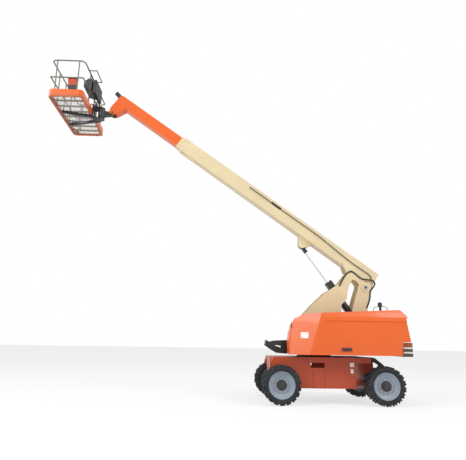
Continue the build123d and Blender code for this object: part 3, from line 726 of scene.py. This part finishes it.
def bolt_row(places, facing, radius=0.011, height=0.010):
    """Six-sided bolt heads at places, standing along one direction."""
    facing = Vector(facing)
    return [rod(place, place + facing * height, radius, 6) for place in places]


# The chassis
CHASSIS_Y = 0.8
SEAM_PLACES = (-0.415, -0.132)
SEAM_HALF_WIDTH = 0.004
BARE_PLATES = (((0.49, 0.868), (0.598, 0.972)), ((0.505, 0.72), (0.58, 0.822)))
BEARING_MIDDLE = at(-0.230, 0, 1.09)
BEARING_BOLTS = 28
COVER_BACK = at(-1.43, 0, 0.457)
COVER_FACE = at(-1.47, 0, 0.457)
COVER_BOLTS = 10


def wall_plate(side, low, high, thickness, edge=0.0):
    """A flat piece on the chassis wall between two (x, z) corners."""
    near, far = sorted((side * CHASSIS_Y, side * CHASSIS_Y + side * thickness))
    return block(at(low[0], near, low[1]), at(high[0], far, high[1]), edge)


class LIFT_OT_chassis_fittings(bpy.types.Operator):
    """Add the seams, bare plates, bearing bolts and axle cover of the chassis"""

    bl_idname = "lift.chassis_fittings"
    bl_label = "Fit the chassis out"

    def execute(self, context):
        seams = [wall_plate(side, (x - SEAM_HALF_WIDTH, 0.362), (x + SEAM_HALF_WIDTH, 0.77), 0.003)
                 for side in SIDES.values() for x in SEAM_PLACES]
        plates = [wall_plate(side, low, high, 0.004, 0.001)
                  for side in SIDES.values() for low, high in BARE_PLATES]
        fit("chassis_seams", seams, "chassis", "engine_black")
        fit("chassis_bare_plates", plates, "chassis", "chassis_paint", "blank_plate")
        ring = [BEARING_MIDDLE + Vector((x, y, 0)) for x, y in circle(BEARING_BOLTS, 0.470)]
        fit("bearing_bolts", bolt_row(ring, (0, 0, 1), 0.012, 0.014), "chassis", "pin_steel")
        cover = [rod(COVER_BACK, COVER_FACE, 0.13, 32, 0.008)]
        places = [COVER_FACE + Vector((0.002, y, z)) for y, z in circle(COVER_BOLTS, 0.11)]
        cover += bolt_row(places, (-1, 0, 0), 0.009, 0.008)
        fit("drive_axle_cover", cover, "chassis", "black_steel")
        return {"FINISHED"}


# The boom. The routes are (x, z) places on the near side, from the front backwards.
HOSE_Y = -0.235
CABLE_Y = -0.189
HOSE_ROUTE = ((0.46, 2.93), (0.529, 3.056), (0.60, 3.18), (0.697, 3.287), (0.797, 3.332), (0.893, 3.280),
              (1.010, 3.160), (1.127, 3.108), (1.274, 3.105), (1.38, 3.085), (1.43, 3.02), (1.40, 2.93),
              (1.345, 2.878), (1.285, 2.79), (1.276, 2.66), (1.24, 2.50), (1.17, 2.36))
CABLE_ROUTE = ((-1.95, 5.66), (-1.049, 5.011), (-0.554, 4.660), (0.0, 4.263), (0.524, 3.82),
               (0.867, 3.54), (1.161, 3.347), (1.30, 3.25), (1.36, 3.18), (1.34, 3.10))
PIPE_ROUTE = ((0.12, 0.105), (0.20, 0.105), (1.20, 0.105), (1.30, 0.090))
MARKER_MIDDLE = at(-1.206, -0.173, 5.135)
MARKER_HALF_SIZE = Vector((0.155, 0.002, 0.032))
PIVOT_PLATE_Y = 0.262
CYLINDER_PLATE_Y = 0.231
BOOM_SIDE_Y = 0.170


def pivot_cap(side):
    start, end = Vector((0, side * (PIVOT_PLATE_Y - 0.02), 0)), Vector((0, side * (PIVOT_PLATE_Y + 0.010), 0))
    return [rod(BOOM_PIVOT + start, BOOM_PIVOT + end, 0.030, 20, 0.004)]


def cylinder_pin_cap(side):
    face = BARREL_PIN + Vector((0, side * CYLINDER_PLATE_Y, 0))
    places = [face + Vector((x, 0, z)) for x, z in circle(4, 0.075, TURN / 8)]
    return [rod(face, face + Vector((0, side * 0.02, 0)), 0.052, 24, 0.004), *bolt_row(places, (0, side, 0))]


def wear_pad_bolts(side):
    """Bolts in two columns by the front end of the base boom."""
    places = [BOOM_PIVOT + BOOM_RISE @ Vector((reach, 0, up)) + Vector((0, side * BOOM_SIDE_Y, 0))
              for reach in (-6.43, -6.33) for up in (0.20, 0.26, 0.42, 0.48)]
    return bolt_row(places, (0, side, 0), 0.012, 0.008)


class LIFT_OT_boom_fittings(bpy.types.Operator):
    """Add the hoses, cable, pin caps and marker plate of the upright and the boom"""

    bl_idname = "lift.boom_fittings"
    bl_label = "Fit the boom out"

    def execute(self, context):
        hose("boom_hoses", [at(x, HOSE_Y, z) for x, z in HOSE_ROUTE], settings().hose_radius, "turntable")
        hose("boom_cable", [at(x, CABLE_Y, z) for x, z in CABLE_ROUTE], 0.011, "base_boom")
        marker = block(MARKER_MIDDLE - MARKER_HALF_SIZE, MARKER_MIDDLE + MARKER_HALF_SIZE, 0.001, BOOM_RISE)
        fit("marker_plate", [marker], "base_boom", "cream_paint", "console_black")
        for side_name, side in SIDES.items():
            fit(f"pivot_cap_{side_name}", pivot_cap(side), "turntable", "black_steel")
            fit(f"cylinder_pin_cap_{side_name}", cylinder_pin_cap(side), "turntable", "black_steel")
            fit(f"wear_pad_bolts_{side_name}", wear_pad_bolts(side), "base_boom", "pin_steel")
        lean = Matrix.Rotation(CYLINDER_ANGLE - math.pi, 4, "Y")
        pipe = [BARREL_PIN + lean @ Vector((along, -0.02, up)) for along, up in PIPE_ROUTE]
        hose("cylinder_pipe", pipe, 0.010, "lift_barrel")
        return {"FINISHED"}


# The platform
MESH_MARGIN = 0.044
MESH_SLANTS = (28, -28)
STICK_PLACES = (-0.20, 0.02, 0.20)
# Each rod of a stick: low and high end from the console's top, radius, sides and rounding
STICK_RODS = ((-0.06, 0.02, 0.010, 16, 0.0), (0.015, 0.055, 0.022, 20, 0.008),
              (-0.07, -0.035, 0.034, 24, 0.008))
# Each block of the pedal: its corners from the floor's boom-side edge, and rounding
PEDAL_BLOCKS = (((-0.36, -0.12, 0.0), (-0.10, 0.10, 0.03), 0.008),
                ((-0.33, -0.09, 0.03), (-0.14, 0.07, 0.05), 0.008),
                ((-0.12, -0.12, 0.02), (-0.10, 0.10, 0.12), 0.006))
# The hose down to the rotator: x from the floor's edge, y and height
PLATFORM_ROUTE = ((0.10, -0.24, 8.34), (0.17, -0.25, 8.20), (0.12, -0.25, 8.05), (0.06, -0.22, 7.94),
                  (0.05, -0.17, 7.80), (0.10, -0.10, 7.665))
PANEL_X = FLOOR_HIGH[0] - 0.20
POST_INSET = 0.023
POST_PLACES = (-0.60, 0.0, 0.60)


def floor_strand(angle, pitch, wire, low, high):
    """Parallel strands over the whole floor at one slant, trimmed to its frame."""
    middle_x, middle_y = (low.x + high.x) / 2, (low.y + high.y) / 2
    reach = (high - low).length
    count = int(reach / pitch)
    strand = block((-reach / 2, -wire / 2, low.z), (reach / 2, wire / 2, high.z))
    choose(strand)
    modifier = strand.modifiers.new("Strands", "ARRAY")
    modifier.use_relative_offset = False
    modifier.use_constant_offset = True
    modifier.constant_offset_displace = (0, pitch, 0)
    modifier.count = count
    bpy.ops.object.modifier_apply(modifier=modifier.name)
    strand.data.transform(Matrix.Translation((0, -pitch * (count - 1) / 2, 0)))
    strand.data.transform(Matrix.Translation((middle_x, middle_y, 0)) @ Matrix.Rotation(angle, 4, "Z"))
    bpy.ops.object.mode_set(mode="EDIT")
    for place, facing in ((low, (-1, 0, 0)), (low, (0, -1, 0)), (high, (1, 0, 0)), (high, (0, 1, 0))):
        bpy.ops.mesh.select_all(action="SELECT")
        bpy.ops.mesh.bisect(plane_co=place, plane_no=facing, use_fill=True, clear_outer=True)
    bpy.ops.object.mode_set(mode="OBJECT")
    return strand


class LIFT_OT_platform_fittings(bpy.types.Operator):
    """Add the floor mesh, controls, pedal and small fittings of the platform"""

    bl_idname = "lift.platform_fittings"
    bl_label = "Fit the platform out"

    def execute(self, context):
        s = settings()
        low = Vector((FLOOR_LOW[0] + MESH_MARGIN, FLOOR_LOW[1] + MESH_MARGIN, FLOOR_TOP - 0.006))
        high = Vector((FLOOR_HIGH[0] - MESH_MARGIN, FLOOR_HIGH[1] - MESH_MARGIN, FLOOR_TOP - 0.001))
        strands = [floor_strand(math.radians(slant), s.mesh_pitch, s.mesh_wire, low, high)
                   for slant in MESH_SLANTS]
        fit("floor_mesh", strands, "platform", "floor_grey", "pin_steel")
        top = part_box("platform_console")[1][2]
        sticks = []
        for y in STICK_PLACES:
            for low_z, high_z, radius, sides, edge in STICK_RODS:
                sticks.append(rod((PANEL_X, y, top + low_z), (PANEL_X, y, top + high_z), radius, sides, edge))
        fit("control_sticks", sticks, "platform", "console_black")
        button_x = PANEL_X + 0.05
        button = rod((button_x, -0.29, top - 0.06), (button_x, -0.29, top - 0.005), 0.024, 24, 0.008)
        fit("stop_button", [button], "platform", "console_black", "red_button")
        corner = Vector((FLOOR_HIGH[0], 0, FLOOR_TOP))
        pedal = [block(corner + Vector(low), corner + Vector(high), edge) for low, high, edge in PEDAL_BLOCKS]
        fit("foot_pedal", pedal, "platform", "console_black")
        rows = (FLOOR_LOW[0] + POST_INSET, FLOOR_HIGH[0] - POST_INSET)
        posts = [Vector((x, y, FLOOR_TOP)) for y in POST_PLACES for x in rows]
        collars = [rod(post, post + Vector((0, 0, 0.02)), 0.026, 20, 0.003) for post in posts]
        fit("post_collars", collars, "platform", "rail_grey")
        route = [Vector((FLOOR_HIGH[0] + x, y, z)) for x, y, z in PLATFORM_ROUTE]
        hose("platform_hose", route, 0.016, "platform")
        return {"FINISHED"}


# Studio and camera. The camera stands where the photograph was taken, and looks up at the platform.
CAMERA_PLACE = at(-2.83, -12.57, 1.36)
CAMERA_TURN = math.radians(1.98)
CAMERA_TILT = math.radians(13.83)
CAMERA_ROLL = math.radians(0.83)
CAMERA_LENS = 36.0
SENSOR_WIDTH = 36.0
WHITE = (1.0, 1.0, 1.0, 1.0)
FLOOR_SIZE = 400.0
FLOOR_GLOW = 0.70
WORLD_STRENGTH = 0.55
LAMP_AIM = Vector((-2.0, 0.0, 3.5))
# Each lamp: its place, the side of its square and its power
LAMPS = {"Key": ((-17.0, -12.0, 15.0), 9.0, 3000.0), "Fill": ((15.0, -11.0, 15.0), 9.0, 2000.0)}


def camera_matrix():
    flat = Vector((math.sin(CAMERA_TURN), math.cos(CAMERA_TURN), 0.0))
    forward = flat * math.cos(CAMERA_TILT) + Vector((0.0, 0.0, math.sin(CAMERA_TILT)))
    level = Vector((math.cos(CAMERA_TURN), -math.sin(CAMERA_TURN), 0.0))
    above = level.cross(forward)
    right = level * math.cos(CAMERA_ROLL) + above * math.sin(CAMERA_ROLL)
    up = above * math.cos(CAMERA_ROLL) - level * math.sin(CAMERA_ROLL)
    turn = Matrix((right, up, -forward)).transposed().to_4x4()
    return Matrix.Translation(CAMERA_PLACE) @ turn


def seen_directly(tree):
    """A socket that is 1 for the camera, and for what glossy and clear surfaces show."""
    path = tree.nodes.new("ShaderNodeLightPath")
    seen = path.outputs["Is Camera Ray"]
    for ray in ("Is Glossy Ray", "Is Transmission Ray"):
        either = tree.nodes.new("ShaderNodeMath")
        either.operation = "MAXIMUM"
        tree.links.new(seen, either.inputs[0])
        tree.links.new(path.outputs[ray], either.inputs[1])
        seen = either.outputs[0]
    return seen


def mixed_surface(tree, factor, first, second, output):
    """Send a mix of two shaders to a tree's output."""
    blend = tree.nodes.new("ShaderNodeMixShader")
    tree.links.new(factor, blend.inputs[0])
    tree.links.new(first.outputs[0], blend.inputs[1])
    tree.links.new(second.outputs[0], blend.inputs[2])
    tree.links.new(blend.outputs[0], tree.nodes[output].inputs["Surface"])


def floor_material():
    """A pale floor that looks white where it is lit and keeps a soft shadow."""
    finish = Finish("Pale floor", (0.95, 0.95, 0.95), 0.9)
    finish.shader.inputs["Specular IOR Level"].default_value = 0.0
    tree = finish.material.node_tree
    glow = tree.nodes.new("ShaderNodeEmission")
    glow.inputs["Color"].default_value = WHITE
    share = tree.nodes.new("ShaderNodeMath")
    share.operation = "MULTIPLY"
    share.inputs[1].default_value = FLOOR_GLOW
    tree.links.new(seen_directly(tree), share.inputs[0])
    mixed_surface(tree, share.outputs[0], finish.shader, glow, "Material Output")
    return finish.material


def studio_world():
    world = bpy.data.worlds.new("Studio")
    world.use_nodes = True
    tree = world.node_tree
    background = tree.nodes["Background"]
    background.inputs["Color"].default_value = WHITE
    background.inputs["Strength"].default_value = WORLD_STRENGTH
    backdrop = tree.nodes.new("ShaderNodeBackground")
    backdrop.inputs["Color"].default_value = WHITE
    mixed_surface(tree, seen_directly(tree), background, backdrop, "World Output")
    return world


class LIFT_OT_stage(bpy.types.Operator):
    """Set the pale floor, the soft light and the camera"""

    bl_idname = "lift.stage"
    bl_label = "Set the studio"

    def execute(self, context):
        scene = context.scene
        deselect()
        bpy.ops.mesh.primitive_plane_add(size=FLOOR_SIZE)
        floor = context.object
        floor.name = "studio_floor"
        floor.data.materials.append(floor_material())
        scene.world = studio_world()
        for name, (place, size, power) in LAMPS.items():
            light = bpy.data.lights.new(name, "AREA")
            light.size = size
            light.energy = power
            lamp = bpy.data.objects.new(name, light)
            lamp.location = place
            aim = LAMP_AIM - Vector(place)
            lamp.rotation_euler = aim.to_track_quat("-Z", "Y").to_euler()
            scene.collection.objects.link(lamp)
        lens = bpy.data.cameras.new("Photo camera")
        lens.sensor_width = SENSOR_WIDTH
        lens.sensor_fit = "HORIZONTAL"
        lens.lens = CAMERA_LENS
        lens.clip_end = 500.0
        camera = bpy.data.objects.new("Photo camera", lens)
        camera.matrix_world = camera_matrix()
        scene.collection.objects.link(camera)
        scene.camera = camera
        scene.view_settings.view_transform = "Standard"
        return {"FINISHED"}


STEPS = (LIFT_OT_paint, LIFT_OT_tyres, LIFT_OT_rims, LIFT_OT_hood_fittings, LIFT_OT_chassis_fittings,
         LIFT_OT_boom_fittings, LIFT_OT_platform_fittings, LIFT_OT_stage)


class LIFT_PT_panel(bpy.types.Panel):
    """Lists the steps that dress the machine"""

    bl_idname = "LIFT_PT_panel"
    bl_label = "Boom Lift"
    bl_space_type = "VIEW_3D"
    bl_region_type = "UI"
    bl_category = "Boom Lift"

    def draw(self, context):
        for step in STEPS:
            self.layout.operator(step.bl_idname)


CLASSES = (LiftSettings, *STEPS, LIFT_PT_panel)


def register():
    for cls in CLASSES:
        bpy.utils.register_class(cls)
    bpy.types.Scene.boom_lift = PointerProperty(type=LiftSettings)


def unregister():
    del bpy.types.Scene.boom_lift
    for cls in reversed(CLASSES):
        bpy.utils.unregister_class(cls)


def main():
    register()
    bpy.ops.lift.paint()
    bpy.ops.lift.tyres()
    bpy.ops.lift.rims()
    bpy.ops.lift.hood_fittings()
    bpy.ops.lift.chassis_fittings()
    bpy.ops.lift.boom_fittings()
    bpy.ops.lift.platform_fittings()
    bpy.ops.lift.stage()


if __name__ == "__main__":
    main()
